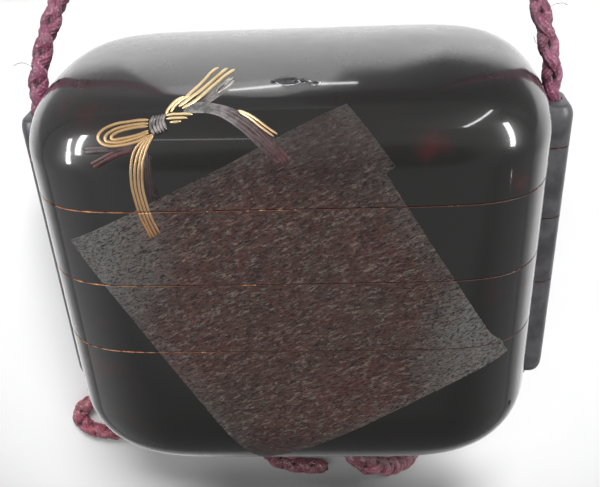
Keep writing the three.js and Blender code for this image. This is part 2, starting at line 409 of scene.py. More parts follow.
def silkMaterial(name, low, high, worn, paintedCreaseShadeEnd):
    material, tree, shader = newMaterial(name)
    around = timesOf(tree, attributeOf(tree, "strandRound"), 9.0)
    along = timesOf(tree, attributeOf(tree, "strandAlong"), 0.5)
    fibre = mathOf(tree, "SINE", timesOf(tree, mathOf(tree, "ADD", around, along), 6.283))
    fine = noiseOf(tree, objectCoords(tree), 2600, 2)
    patch = noiseOf(tree, objectCoords(tree), 260, 3)
    base = blendOf(tree, patch, 0.3, 0.7, low, high)
    base = blendOf(tree, fine, 0.5, 0.78, base, worn)
    # painted shade: the braid is darker where a strand dips towards the cord's middle, in the creases between
    # strands
    colour = blendOf(tree, attributeOf(tree, "strandOut"), 0.98, paintedCreaseShadeEnd, base, (0.022, 0.003, 0.007))
    sheen = {"Sheen Weight": 0.2, "Sheen Roughness": 0.4, "Sheen Tint": (0.9, 0.62, 0.68, 1)}
    dress(tree, shader, colour, 0.48, sheen)
    bumpOf(tree, shader, mathOf(tree, "ADD", timesOf(tree, fibre, 0.5), fine), 0.00007, 0.8)
    return material


silk = silkMaterial("burgundySilk", (0.115, 0.025, 0.05), (0.19, 0.058, 0.1), (0.38, 0.17, 0.23), 0.6)
# painted light: a paler, redder copy of the silk for the bow, which lies in the case's shade
paintedLighterBowSilk = silkMaterial("bowSilkPaintedLighter", (0.17, 0.032, 0.053), (0.3, 0.078, 0.11), (0.56, 0.24, 0.27), 0.66)


def addLayer(piece, name, values):
    layer = piece.data.attributes.new(name, "FLOAT", "POINT")
    layer.data.foreach_set("value", np.concatenate(values).astype(np.float32))


def addStrandValues(piece, values):
    # place round and along each strand, and how far out from the cord's middle it is
    sides = braid["sides"]
    around = [np.tile(np.arange(sides) / sides, len(run)) + strand * 3.7 for run, strand, _ in values]
    addLayer(piece, "strandRound", around)
    addLayer(piece, "strandAlong", [np.repeat(run, sides) for run, _, _ in values])
    addLayer(piece, "strandOut", [outward for _, _, outward in values])


taut, slack = cordForm["diameter"], cordForm["slackDiameter"]
cordPieces = {  # route, pitch of the braid and its thickness in mm, what is on its far end
    "cord": {"route": loopRoute(cordRoute), "pitch": 9.8, "thick": taut * 1.12, "end": "object"},
    "bow_loop_left": {"route": loopRoute(leftLoopRoute), "pitch": 9.4, "thick": slack, "end": "object"},
    "bow_loop_right": {"route": loopRoute(rightLoopRoute), "pitch": 9.4, "thick": slack, "end": "object"},
    "bow_tail_left": {"route": tailRoute(leftTailRoute), "pitch": 9.4, "thick": slack, "end": "bare"},
    "bow_tail_right": {"route": tailRoute(rightTailRoute), "pitch": 9.4, "thick": slack, "end": "bare"},
}


def makeCord(node, cord):
    line, length = smoothLine(cord["route"], braid["step"])
    parts, values = braidMesh(line, cord["pitch"], cord["thick"])
    piece = parts.piece("silk_" + node, [silk if node == "cord" else paintedLighterBowSilk], "silk_cord")
    addStrandValues(piece, values)
    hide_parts(node)
    print(node, "is", round(length), "mm long")
    return piece


cords = {node: makeCord(node, cord) for node, cord in cordPieces.items()}
cords["cord"].visible_shadow = False  # the white sheet shows no shadow of it beyond the lid


knotBraid = {"pitch": 7.2, "step": 0.34, "points": 24}
knotWraps = [  # tilt in degrees, offset in mm, size as shares of the knot's half sizes
    {"tilt": 12, "offset": -1.5, "size": (0.74, 0.72)},
    {"tilt": -8, "offset": 1.3, "size": (0.74, 0.72)},
    {"tilt": 82, "offset": 0, "size": (0.66, 0.6)},
]


def makeKnot():
    # wraps of the same braid, one beside the other round the bow's middle
    parts = MeshParts()
    allValues = []
    half = cordForm["knotHalf"]
    for wrap in knotWraps:
        tilt = math.radians(wrap["tilt"])
        ring = []
        for step in range(knotBraid["points"] + 1):
            angle = 2 * math.pi * step / knotBraid["points"]
            y = math.cos(angle) * half[1] * wrap["size"][0]
            z = math.sin(angle) * half[2] * wrap["size"][1]
            x = wrap["offset"] + 0.5 * math.sin(angle / 2)
            ring.append((x * math.cos(tilt) + z * math.sin(tilt), y, z * math.cos(tilt) - x * math.sin(tilt)))
        line, _ = smoothLine([tuple(knotCentre + Vector(point)) for point in ring], knotBraid["step"])
        wrapParts, values = braidMesh(line, knotBraid["pitch"], cordForm["diameter"])
        parts.add(wrapParts.points, wrapParts.faces, wrapParts.kinds)
        allValues.extend(values)
    piece = parts.piece("silk_bow_knot", [paintedLighterBowSilk], "silk_cord")
    addStrandValues(piece, allValues)
    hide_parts("bow_knot")


makeKnot()

looseFibres = {  # hair-thin fibres that stand off the cords
    "fibre_left": [(-37.6, 39.8, 19.6), (-36.4, 42.2, 19.4), (-35.9, 44.6, 20.4), (-36.6, 46.2, 20.8)],
    "fibre_left_low": [(-40.0, 33.4, 23.4), (-41.9, 34.6, 24.2), (-43.0, 34.4, 24.9)],
    "fibre_right": [(39.0, 38.8, 21.0), (40.4, 40.1, 21.3), (41.9, 40.3, 21.2), (42.6, 39.9, 20.8)],
    "fibre_right_low": [(39.6, 34.2, 22.4), (38.0, 34.9, 23.4), (37.3, 36.2, 24.0)],
}


def makeFibre(name, points):
    radius, count, step = 0.035, 5, 0.3
    line, _ = smoothLine(points, step)
    sides, ups = framesAlong(line)
    rings = ringsAround(line, sides, ups, count, radius, radius)
    newPiece(name, rings.reshape(-1, 3), tubeFaces(len(line), count), [silk])


for fibreName, fibrePoints in looseFibres.items():
    makeFibre(fibreName, fibrePoints)
print("cords made")


# Lacquer and decoration materials. The grained board is a slightly raised tilted rectangle that the
# joints cut through.

board = {
    "leftSide": [(9.0, 34.6), (-32.2, 14.0), (-24.9, 1.0), (-17.5, -13.2), (-6.9, -33.4)],  # x, s
    "rightSide": [
        (9.0, 34.6), (15.6, 25.5), (14.2, 24.6), (30.6, -3.9), (32.3, -5.4), (33.7, -8.3),
        (28.1, -11.0), (23.1, -13.9), (5.1, -25.4), (-6.9, -33.4),
    ],
    "lift": 0.06,
    "sunk": 0.12,
    "relief": 0.035,
    "grainTurn": 24,  # degrees
    "cell": 0.25,
    "edgeRough": 0.12,
    "strokeWide": 0.2,
    "strokeDeep": 0.05,
    # painted sheen: the board is greyer round these places
    "paintedSheenPlaces": [((9, 34.6), 3.5), ((-32.2, 14), 17), ((33.7, -8.3), 16), ((30, -3), 11)],  # with reach
}

wornPatches = [  # rubbed, reddish places in the lacquer; place in mm and reach in mm
    {"place": (20.5, 28.0, 45.4), "reach": 3.4},
    {"place": (32.9, 22.0, 43.9), "reach": 2.6},
    {"place": (37, 3, 40), "reach": 3},
]


def lacquerMaterial():
    material, tree, shader = newMaterial("blackLacquer")
    coords = objectCoords(tree)
    broad = noiseOf(tree, coords, 55, 3, 0.55)
    spots = noiseOf(tree, coords, 160, 4, 0.6)
    worn = timesOf(tree, rangeOf(tree, broad, 0.56, 0.72), rangeOf(tree, spots, 0.45, 0.65))
    base = mixOf(tree, worn, (0.008, 0.0075, 0.007), (0.026, 0.006, 0.005))
    for patch in wornPatches:
        place = [value * mm for value in patch["place"]]
        away = addNode(tree, "ShaderNodeVectorMath", {"operation": "DISTANCE"}, {0: coords, 1: place})
        near = rangeOf(tree, away.outputs["Value"], patch["reach"] * mm, 0)
        share = timesOf(tree, near, rangeOf(tree, spots, 0.35, 0.6))
        base = mixOf(tree, share, base, (0.034, 0.0065, 0.007))
    haze = noiseOf(tree, coords, 90, 5, 0.65)
    gloss = {"IOR": 1.34, "Coat Weight": 1, "Coat Roughness": 0.07, "Coat IOR": 1.5}
    dress(tree, shader, base, rangeOf(tree, haze, 0.3, 0.75, 0.26, 0.36), gloss)
    bumpOf(tree, shader, noiseOf(tree, coords, 70, 2, 0.4), 0.00004, 0.25)
    return material


def wornEdgeMaterial():
    # brown with copper specks, rubbed more on the left
    material, tree, shader = newMaterial("wornSeamEdge")
    coords = objectCoords(tree)
    fine = noiseOf(tree, coords, 520, 3, 0.6)
    broad = noiseOf(tree, coords, 90, 3, 0.6)
    x, _, _ = placesOf(tree, coords)
    rubbed = timesOf(tree, rangeOf(tree, x, -0.012, -0.03), rangeOf(tree, fine, 0.4, 0.55))
    bright = timesOf(tree, rangeOf(tree, fine, 0.55, 0.66), rangeOf(tree, broad, 0.48, 0.62))
    brown = blendOf(tree, broad, 0.35, 0.65, (0.008, 0.004, 0.003), (0.085, 0.02, 0.009))
    brown = blendOf(tree, x, -0.008, 0.012, brown, (0.034, 0.010, 0.007))
    brown = mixOf(tree, rubbed, brown, (0.3, 0.12, 0.045))
    dress(tree, shader, mixOf(tree, bright, brown, (0.5, 0.26, 0.1)), 0.5)
    return material


def insideMaterial():
    material, tree, shader = newMaterial("insideLacquer")
    haze = noiseOf(tree, objectCoords(tree), 140, 4, 0.6)
    base = mixOf(tree, haze, (0.01, 0.009, 0.008), (0.02, 0.012, 0.01))
    dress(tree, shader, base, rangeOf(tree, haze, 0.3, 0.7, 0.25, 0.4))
    return material


def runnerMaterial():
    material, tree, shader = newMaterial("satinRunnerLacquer")
    coords = objectCoords(tree)
    haze = noiseOf(tree, coords, 240, 5, 0.65)
    base = blendOf(tree, haze, 0.35, 0.7, (0.034, 0.033, 0.036), (0.07, 0.068, 0.074))
    base = blendOf(tree, noiseOf(tree, coords, 60, 2), 0.55, 0.75, base, (0.03, 0.012, 0.012))
    dress(tree, shader, base, rangeOf(tree, haze, 0.3, 0.7, 0.28, 0.42))
    bumpOf(tree, shader, haze, 0.00005, 0.4)
    return material


def chipMaterial():
    material, tree, shader = newMaterial("chippedGround")
    grit = noiseOf(tree, objectCoords(tree), 1800, 4, 0.6)
    dress(tree, shader, blendOf(tree, grit, 0.35, 0.65, (0.010, 0.010, 0.011), (0.05, 0.048, 0.05)), 0.4)
    bumpOf(tree, shader, grit, 0.00008, 0.7)
    return material


def boardMaterial():
    material, tree, shader = newMaterial("grainedBoard")
    streak = objectCoords(tree, (2.7, 1, 1), board["grainTurn"])
    fineStreak = noiseOf(tree, streak, 4200, 4, 0.75, 0.2)
    midStreak = noiseOf(tree, streak, 1900, 5, 0.75, 0.3)
    longStreak = noiseOf(tree, objectCoords(tree, (6, 1, 1), board["grainTurn"]), 3600, 3, 0.6)
    tint = noiseOf(tree, streak, 1500, 3, 0.6)
    speck = noiseOf(tree, streak, 2600, 3, 0.7, 0.1)
    broad = noiseOf(tree, objectCoords(tree), 70, 3, 0.55)
    # painted sheen: a greyer tone round the board's corners and along its edges
    grey = attributeOf(tree, "paintedSheen")
    _, y, _ = placesOf(tree, objectCoords(tree))
    tone = blendOf(tree, broad, 0.35, 0.65, (0.036, 0.021, 0.017), (0.052, 0.021, 0.018))
    tone = blendOf(tree, tint, 0.5, 0.75, tone, (0.046, 0.05, 0.042))
    tone = mixOf(tree, grey, tone, (0.098, 0.1, 0.096))
    tone = blendOf(tree, midStreak, 0.5, 0.66, tone, (0.122, 0.092, 0.078))
    tone = blendOf(tree, fineStreak, 0.5, 0.41, tone, (0.009, 0.006, 0.005))
    tone = blendOf(tree, longStreak, 0.6, 0.66, tone, (0.008, 0.005, 0.005))
    # painted shade: darker towards the lid's edge, where the board turns towards the key light; brown specks
    # in the painted sheen
    tone = mixOf(tree, rangeOf(tree, y, 0.018, 0.032, 0, 0.75), tone, (0.006, 0.003, 0.003))
    brownSpeck = timesOf(tree, grey, rangeOf(tree, speck, 0.54, 0.6, 0, 0.75))
    tone = mixOf(tree, brownSpeck, tone, (0.04, 0.028, 0.023))
    tone = mixOf(tree, attributeOf(tree, "markShade"), tone, (0.006, 0.006, 0.006))
    dress(tree, shader, tone, rangeOf(tree, midStreak, 0.3, 0.7, 0.36, 0.55))
    bumpOf(tree, shader, mathOf(tree, "ADD", fineStreak, midStreak), 0.00006, 0.5)
    return material


def goldMaterial():
    # bright on the strands above the knot, duller on the loop and browner down the tail
    material, tree, shader = newMaterial("goldStrand")
    coords = objectCoords(tree)
    rub = noiseOf(tree, coords, 700, 4, 0.65)
    broad = noiseOf(tree, coords, 120, 2, 0.5)
    x, y, _ = placesOf(tree, coords)
    bright = blendOf(tree, broad, 0.35, 0.65, (0.60, 0.43, 0.2), (0.76, 0.6, 0.35))
    dull = blendOf(tree, broad, 0.35, 0.65, (0.40, 0.26, 0.125), (0.52, 0.37, 0.215))
    above = timesOf(tree, rangeOf(tree, y, 0.0312, 0.0322), rangeOf(tree, x, -0.0176, -0.0168))
    tone = blendOf(tree, y, 0.026, 0.013, mixOf(tree, above, dull, bright), (0.31, 0.145, 0.062))
    tone = blendOf(tree, rub, 0.62, 0.78, tone, (0.16, 0.065, 0.02))
    dress(tree, shader, tone, rangeOf(tree, rub, 0.3, 0.8, 0.3, 0.48), {"Metallic": 0.55})
    bumpOf(tree, shader, rub, 0.00003, 0.5)
    return material


def metalStrandMaterial(name, low, high, metallic, roughness):
    material, tree, shader = newMaterial(name)
    rub = noiseOf(tree, objectCoords(tree), 600, 4, 0.6)
    rough = rangeOf(tree, rub, 0.3, 0.7, roughness, roughness + 0.15)
    dress(tree, shader, blendOf(tree, rub, 0.35, 0.68, low, high), rough, {"Metallic": metallic})
    bumpOf(tree, shader, rub, 0.00003, 0.5)
    return material


def tailMaterial():
    # pewter near the knot, worn brown and then red towards the band's end
    material, tree, shader = newMaterial("pewterToRedTail")
    x, _, _ = placesOf(tree, rawCoords(tree))
    rub = noiseOf(tree, objectCoords(tree), 800, 4, 0.6)
    grey = blendOf(tree, rub, 0.35, 0.68, (0.08, 0.076, 0.076), (0.25, 0.238, 0.238))
    brown = blendOf(tree, rub, 0.35, 0.68, (0.032, 0.019, 0.019), (0.066, 0.043, 0.043))
    red = blendOf(tree, rub, 0.35, 0.68, (0.034, 0.011, 0.012), (0.065, 0.022, 0.024))
    tone = blendOf(tree, x, -0.0115, -0.0035, grey, brown)
    tone = blendOf(tree, x, -0.004, 0.0005, tone, red)
    dress(tree, shader, tone, rangeOf(tree, rub, 0.3, 0.7, 0.34, 0.5), {"Metallic": 0.2})
    bumpOf(tree, shader, rub, 0.00003, 0.5)
    return material


lacquer = lacquerMaterial()
wornEdge = wornEdgeMaterial()
insideLacquer = insideMaterial()
runnerLacquer = runnerMaterial()
chipGround = chipMaterial()
# raised lips painted pale: a painted highlight
paleLipHighlight = metalStrandMaterial("flakedLipPaintedHighlight", (0.2, 0.2, 0.21), (0.75, 0.75, 0.78), 0.0, 0.25)
grainedBoard = boardMaterial()
gold = goldMaterial()
pewter = metalStrandMaterial("pewterStrand", (0.075, 0.068, 0.065), (0.235, 0.215, 0.205), 0.4, 0.36)
silver = metalStrandMaterial("silverStrand", (0.26, 0.26, 0.25), (0.66, 0.66, 0.63), 0.5, 0.3)
darkBrown = metalStrandMaterial("darkBrownStrand", (0.013, 0.008, 0.008), (0.036, 0.022, 0.022), 0.15, 0.3)
darkRed = metalStrandMaterial("darkRedStrand", (0.022, 0.004, 0.004), (0.07, 0.010, 0.010), 0.1, 0.34)
tailLacquer = tailMaterial()
print("materials made")


# The case's form, in mm. Every level is a rounded rectangle that bulges to front and back.

caseForm = {
    "acrossPower": 8,
    "throughPower": 2.4,
    "topEdge": {"across": 9, "through": 9.4, "along": 9.2, "turn": 78.5},
    "bottomEdge": {"across": 17.5, "through": 9.3, "along": 14.8, "turn": 90},
    "wall": 2.4,
    "floor": 1.8,
    "skirt": 1.1,
    "rimHeight": 4,
    "rimClearance": 0.3,
    "seamRound": 0.1,
    "steps": 320,  # points round the outline
}


def lowEdge(node):
    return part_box(node)[0][1] / mm


seamY = {"lid": lowEdge("lid"), "upper": lowEdge("upper_tray"), "middle": lowEdge("middle_tray")}


def outlineDirections(count):
    # even steps round the full outline, as shares of its half sizes
    angle = np.linspace(0, 2 * math.pi, 40001)
    c, s = np.cos(angle), np.sin(angle)
    x = np.sign(c) * np.abs(c) ** (2 / caseForm["acrossPower"])
    z = np.sign(s) * np.abs(s) ** (2 / caseForm["throughPower"])
    run = runAlong(np.column_stack([x * halfWidth, z * halfDepth]))
    even = np.linspace(0, run[-1], count, endpoint=False)
    return np.interp(even, run, x), np.interp(even, run, z)


roundX, roundZ = outlineDirections(caseForm["steps"])


def edgeAt(edge, angle, inset):
    reach = 1 - math.cos(angle)
    return (
        (edge["along"] - inset) * math.sin(angle),
        halfWidth - inset - (edge["across"] - inset) * reach,
        halfDepth - inset - (edge["through"] - inset) * reach,
    )


def crownOf(inset=0):
    # the crown goes on at the slope that the rounded edge ends with
    edge = caseForm["topEdge"]
    turn = math.radians(edge["turn"])
    rise, across, through = edgeAt(edge, turn, inset)
    slopeAcross = (edge["along"] - inset) / (edge["across"] - inset) / math.tan(turn)
    slopeThrough = (edge["along"] - inset) / (edge["through"] - inset) / math.tan(turn)
    height = slopeThrough * through / 2
    start = halfHeight - inset - height
    return {
        "turn": turn, "start": start, "shoulder": start - rise, "height": height,
        "across": across, "through": through, "power": height / (slopeAcross * across),
    }


def topRings(inset=0, edgeSteps=28, crownSteps=24):
    # from the wall's top over the rounded edge to just short of the crown's middle
    crown = crownOf(inset)
    rings = []
    for step in range(edgeSteps + 1):
        rise, across, through = edgeAt(caseForm["topEdge"], crown["turn"] * step / edgeSteps, inset)
        rings.append((crown["shoulder"] + rise, across, through))
    for step in range(1, crownSteps):
        share = 1 - step / crownSteps
        rings.append((
            crown["start"] + crown["height"] * (1 - share * share),
            crown["across"] * share ** (2 * crown["power"]),
            crown["through"] * share,
        ))
    return rings


def bottomRings(inset=0, steps=30):
    # from the flat underside's rim round to the wall
    start = -halfHeight + caseForm["bottomEdge"]["along"]
    rings = []
    for step in range(steps, -1, -1):
        drop, across, through = edgeAt(caseForm["bottomEdge"], math.pi / 2 * step / steps, inset)
        rings.append((start - drop, across, through))
    return rings


def wallRing(y, inset):
    return (y, halfWidth - inset, halfDepth - inset)


def wallRings(start, end, inset, spacing=1.5):
    count = max(1, round(abs(end - start) / spacing))
    return [wallRing(start + (end - start) * i / count, inset) for i in range(count + 1)]


def seamCorner(y, way):
    # a small round where the outer wall turns in at a joint; way is +1 at a lower piece's top
    size = caseForm["seamRound"]
    rings = []
    for step in range(4):
        angle = math.pi / 2 * step / 3
        rings.append(wallRing(y - way * size * (1 - math.sin(angle)), size * (1 - math.cos(angle))))
    return rings


def ringFaces(rings, count, kinds):
    # quads between the rings, and a fan to the middle of each end
    faces = []
    faceKinds = []
    for j in range(rings - 1):
        for i in range(count):
            k = (i + 1) % count
            faces.append((j * count + i, (j + 1) * count + i, (j + 1) * count + k, j * count + k))
            faceKinds.append(kinds[j])
    startPole = rings * count
    endPole = startPole + 1
    last = (rings - 1) * count
    for i in range(count):
        k = (i + 1) % count
        faces += [(startPole, i, k), (endPole, last + k, last + i)]
        faceKinds += [kinds[0], kinds[-1]]
    return faces, faceKinds


def clearChannels(points):
    # dents the wall where the cord's channel cuts into it
    x, y, z = points[:, 0], points[:, 1], points[:, 2] - middle
    radius = channel["radius"]
    dent = np.sqrt(np.clip(radius ** 2 - z ** 2, 0, None))
    beside = (np.abs(z) < radius) & (y > mouthBottom - 0.4) & (y < mouthTop + 0.4)
    points[:, 0] = np.where(beside & (x < leftX + dent), leftX + dent, points[:, 0])
    points[:, 0] = np.where(beside & (x > rightX - dent), rightX - dent, points[:, 0])
    return points


def shellParts(sections, startY, endY):
    # sections is a list of (rings, kind) that runs over the whole closed surface
    rings = []
    kinds = []
    for sectionRings, kind in sections:
        for ring in sectionRings:
            if rings and np.allclose(rings[-1], ring, atol=1e-6):
                continue
            rings.append(ring)
            kinds.append(kind)
    count = caseForm["steps"]
    points = []
    for y, across, through in rings:
        points.append(np.column_stack([roundX * across, np.full(count, y), middle + roundZ * through]))
    points = np.vstack([*points, [[0, startY, middle]], [[0, endY, middle]]])
    faces, faceKinds = ringFaces(len(rings), count, kinds[1:])
    parts = MeshParts()
    parts.add(clearChannels(points).tolist(), faces, faceKinds)
    return parts


# Cord runners, one bar on each side, cut at the joints

runner = {
    "left": {"centre": -leftX, "reach": 43.7, "endInset": 0.8},
    "right": {"centre": rightX, "reach": 44.3, "endInset": 1.2},
    "halfWidth": 4.6,
    "round": 2.4,
    "endAlong": 2.2,
    "sides": 64,
    "roundSteps": 8,
    "rootPiece": 0.9,
    "rootCase": 1.9,
}


def runnerRay(bar, angle, root, inset):
    # how far a ray from the channel's middle goes before it leaves the bar's section
    c, s = math.cos(angle), math.sin(angle)
    wide = runner["halfWidth"] - inset
    reach = bar["reach"] - inset
    corner = max(runner["round"] - inset, 0.4)

    def inside(t):
        x, z = bar["centre"] + c * t, s * t
        if x < root or x > reach or abs(z) > wide:
            return False
        overX = x - (reach - corner)
        overZ = abs(z) - (wide - corner)
        return not (overX > 0 and overZ > 0 and overX * overX + overZ * overZ > corner * corner)

    near, far = 0, 9  # no bar is as wide as this
    for _ in range(26):
        half = (near + far) / 2
        if inside(half):
            near = half
        else:
            far = half
    return near


def runnerLevels(bar, start, end, roundStart, roundEnd):
    # heights and insets along a bar; each end is rounded, by more where no other piece follows
    levels = []
    steps = runner["roundSteps"]
    for own, inward, isRound in ((start, 1, roundStart), (end, -1, roundEnd)):
        along = runner["endAlong"] if isRound else caseForm["seamRound"]
        inset = bar["endInset"] if isRound else caseForm["seamRound"]
        ownLevels = []
        for step in range(steps + 1):
            angle = math.pi / 2 * step / steps
            ownLevels.append((own + inward * along * (1 - math.sin(angle)), inset * (1 - math.cos(angle))))
        levels.extend(ownLevels[::-1] if inward > 0 else ownLevels)
    return levels


def runnerParts(side, start, end, root, roundStart, roundEnd):
    bar = runner["right" if side > 0 else "left"]
    count = runner["sides"]
    angles = [2 * math.pi * (i + 0.5) / count for i in range(count)]

    def ringAt(y, rays):
        return [
            (side * (bar["centre"] + ray * math.cos(angle)), y, middle + ray * math.sin(angle))
            for ray, angle in zip(rays, angles)
        ]

    rings = [
        ringAt(y, [runnerRay(bar, angle, root, inset) for angle in angles])
        for y, inset in runnerLevels(bar, start, end, roundStart, roundEnd)
    ]
    rings += [ringAt(y, [channel["radius"]] * count) for y in (end, start)]
    faces = []
    faceKinds = []
    total = len(rings)
    steps = runner["roundSteps"]
    worn = set() if roundStart else set(range(steps))
    worn |= set() if roundEnd else set(range(steps + 1, 2 * steps + 1))
    for j in range(total):
        n = (j + 1) % total
        for i in range(count):
            k = (i + 1) % count
            face = (j * count + i, j * count + k, n * count + k, n * count + i)
            faces.append(face if side < 0 else face[::-1])
            isBore = j == total - 2
            faceKinds.append(insideKind if isBore else edgeKind if j in worn else runnerKind)
    return [point for ring in rings for point in ring], faces, faceKinds


def addRunners(parts, start, end, root, roundStart=False, roundEnd=False):
    for side in (-1, 1):
        parts.add(*runnerParts(side, start, end, root, roundStart, roundEnd))


# Lid, trays and lower case

seamLine = {"gap": 0.08, "wornWidth": 0.09}
outsideKind, edgeKind, insideKind, runnerKind = 0, 1, 2, 3
caseMaterials = [lacquer, wornEdge, insideLacquer, runnerLacquer, chipGround]
skirt = caseForm["skirt"]
wall = caseForm["wall"]
rimInset = skirt + caseForm["rimClearance"]
recess = caseForm["rimHeight"] + caseForm["rimClearance"]


def skirtSections(low):
    # down the recess inside the skirt and out to the wall
    return [
        (wallRings(low + recess, low, skirt, 4), insideKind),
        (seamCorner(low, -1)[::-1], edgeKind),
        ([wallRing(low + seamLine["wornWidth"], 0)], edgeKind),
    ]


def rimSections(top, rimTop, innerEnd):
    # in at the joint, up the inner rim and down the inside
    return [
        (seamCorner(top, 1), edgeKind),
        ([wallRing(top, rimInset), wallRing(rimTop, rimInset), wallRing(rimTop, wall)], insideKind),
        (wallRings(rimTop, innerEnd, wall, 6), insideKind),
    ]


def trayParts(low, nextLow):
    top = nextLow - seamLine["gap"]
    trayLow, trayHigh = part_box("middle_tray")
    rimTop = low + (trayHigh[1] - trayLow[1]) / mm
    ceiling = low + recess
    floorTop = ceiling + caseForm["floor"]
    worn = seamLine["wornWidth"]
    sections = [
        *skirtSections(low),
        (wallRings(low + worn, top - worn, 0), outsideKind),
        *rimSections(top, rimTop, floorTop),
    ]
    parts = shellParts(sections, ceiling, floorTop)
    addRunners(parts, low, top, halfWidth - runner["rootPiece"])
    return parts


def lidParts():
    low = seamY["lid"]
    sections = [
        (topRings(wall, 12, 10)[::-1], insideKind),
        ([wallRing(low + recess, wall)], insideKind),
        *skirtSections(low),
        (wallRings(low + seamLine["wornWidth"], crownOf()["shoulder"], 0), outsideKind),
        (topRings(), outsideKind),
    ]
    parts = shellParts(sections, halfHeight - wall, halfHeight)
    addRunners(parts, low, mouthTop, halfWidth - runner["rootPiece"], roundEnd=True)
    return parts


def lowerParts():
    top = seamY["middle"] - seamLine["gap"]
    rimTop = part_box("lower_case")[1][1] / mm
    wallStart = -halfHeight + caseForm["bottomEdge"]["along"]
    sections = [
        (bottomRings(), outsideKind),
        (wallRings(wallStart, top - seamLine["wornWidth"], 0), outsideKind),
        *rimSections(top, rimTop, wallStart),
        (bottomRings(wall, 16)[::-1], insideKind),
    ]
    parts = shellParts(sections, -halfHeight, -halfHeight + wall)
    addRunners(parts, mouthBottom, top, halfWidth - runner["rootCase"], roundStart=True)
    return parts


casePieces = {
    "lid": lidParts(),
    "upper_tray": trayParts(seamY["upper"], seamY["lid"]),
    "middle_tray": trayParts(seamY["middle"], seamY["upper"]),
    "lower_case": lowerParts(),
}


def makeCasePiece(node, parts):
    piece = parts.piece("lacquer_" + node, caseMaterials, "black_lacquer")
    piece.data.set_sharp_from_angle(angle=math.radians(40))
    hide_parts(node)
    return piece


shells = {node: makeCasePiece(node, parts) for node, parts in casePieces.items()}
print("case pieces made")


# Places on the decorated front: x across it and s along it, over the lid's edge and onto its top

def frontProfile():
    rows = bottomRings(0, 60)
    crown = crownOf()
    rows += wallRings(rows[-1][0], crown["shoulder"], 0, 0.5)[1:]
    rows += topRings(0, 60, 60)[1:]
    rows = np.array(rows)
    run = runAlong(rows[:, [0, 2]])
    return run - np.interp(0, rows[:, 0], run), rows


frontRun, frontRows = frontProfile()


def frontPoint(x, s):
    y = np.interp(s, frontRun, frontRows[:, 0])
    across = np.interp(s, frontRun, frontRows[:, 1])
    through = np.interp(s, frontRun, frontRows[:, 2])
    share = np.clip(1 - np.abs(x / across) ** caseForm["acrossPower"], 0, 1)
    return np.stack([x + 0 * y, y, middle + through * share ** (1 / caseForm["throughPower"])], axis=-1)


def frontNormal(x, s):
    step = 0.02
    alongX = frontPoint(x + step, s) - frontPoint(x - step, s)
    alongS = frontPoint(x, s + step) - frontPoint(x, s - step)
    return unit(np.cross(alongX, alongS))


def runOf(y):
    return float(np.interp(y, frontRows[:, 0], frontRun))


def sideAt(side, s):
    run = [point[1] for point in side][::-1]
    x = [point[0] for point in side][::-1]
    return np.interp(s, run, x)


markRows = [  # where each row of strokes starts, and how many pairs it has
    ((12.2, 17.2), 7), ((-3.2, 12.4), 6), ((22.4, 1.4), 6), ((5.6, -1.6), 7), ((15.0, -6.0), 5),
]


def strokeMarks():
    # rows of short shallow strokes, in no script
    turn = math.radians(-62)
    marks = []
    for rowIndex, (start, count) in enumerate(markRows):
        for i in range(count):
            drift = noise.noise(Vector((rowIndex * 3.1, i * 1.7, 0.5)))
            x = start[0] - 0.55 * i + 0.9 * drift
            s = start[1] - 1.15 * i
            angle = turn + 1.9 * noise.noise(Vector((i * 2.3, rowIndex * 5.2, 1.5)))
            length = 0.55 + 0.5 * abs(noise.noise(Vector((rowIndex, i, 2.5))))
            marks.append((x, s, angle, length))
            marks.append((x + 0.7, s + 0.35, angle + 1.25, length * 0.8))
    return marks


boardMarks = strokeMarks()


def markDepth(x, s):
    depth = np.zeros_like(x)
    for markX, markS, angle, length in boardMarks:
        dx, ds = x - markX, s - markS
        along = dx * math.cos(angle) + ds * math.sin(angle)
        across = -dx * math.sin(angle) + ds * math.cos(angle)
        far = np.hypot(np.maximum(np.abs(along) - length, 0), across + 0.12 * np.sin(2.2 * along))
        depth = np.maximum(depth, np.clip(1 - far / board["strokeWide"], 0, 1))
    return depth


def grainHeight(x, s):
    turn = math.radians(board["grainTurn"])
    along = x * math.cos(turn) + s * math.sin(turn)
    across = -x * math.sin(turn) + s * math.cos(turn)
    flatAlong, flatAcross = along.ravel(), across.ravel()
    heights = [
        0.6 * noise.noise(Vector((a * 0.55, c * 1.7, 0))) + 0.4 * noise.noise(Vector((a * 1.1, c * 3.1, 7)))
        for a, c in zip(flatAlong, flatAcross)
    ]
    return np.array(heights).reshape(x.shape)


def sheetFaces(rows, columns):
    # the top and base of a thin sheet, and the rim between them
    count = columns + 1
    size = (rows + 1) * count
    faces = []
    for j in range(rows):
        for i in range(columns):
            a = j * count + i
            faces.append((a, a + 1, a + count + 1, a + count))
            faces.append((size + a, size + a + count, size + a + count + 1, size + a + 1))
    rim = (
        [j * count for j in range(rows, 0, -1)]
        + list(range(columns))
        + [j * count + columns for j in range(rows)]
        + [rows * count + i for i in range(columns, 0, -1)]
    )
    for j, a in enumerate(rim):
        b = rim[(j + 1) % len(rim)]
        faces.append((b, a, size + a, size + b))
    return faces


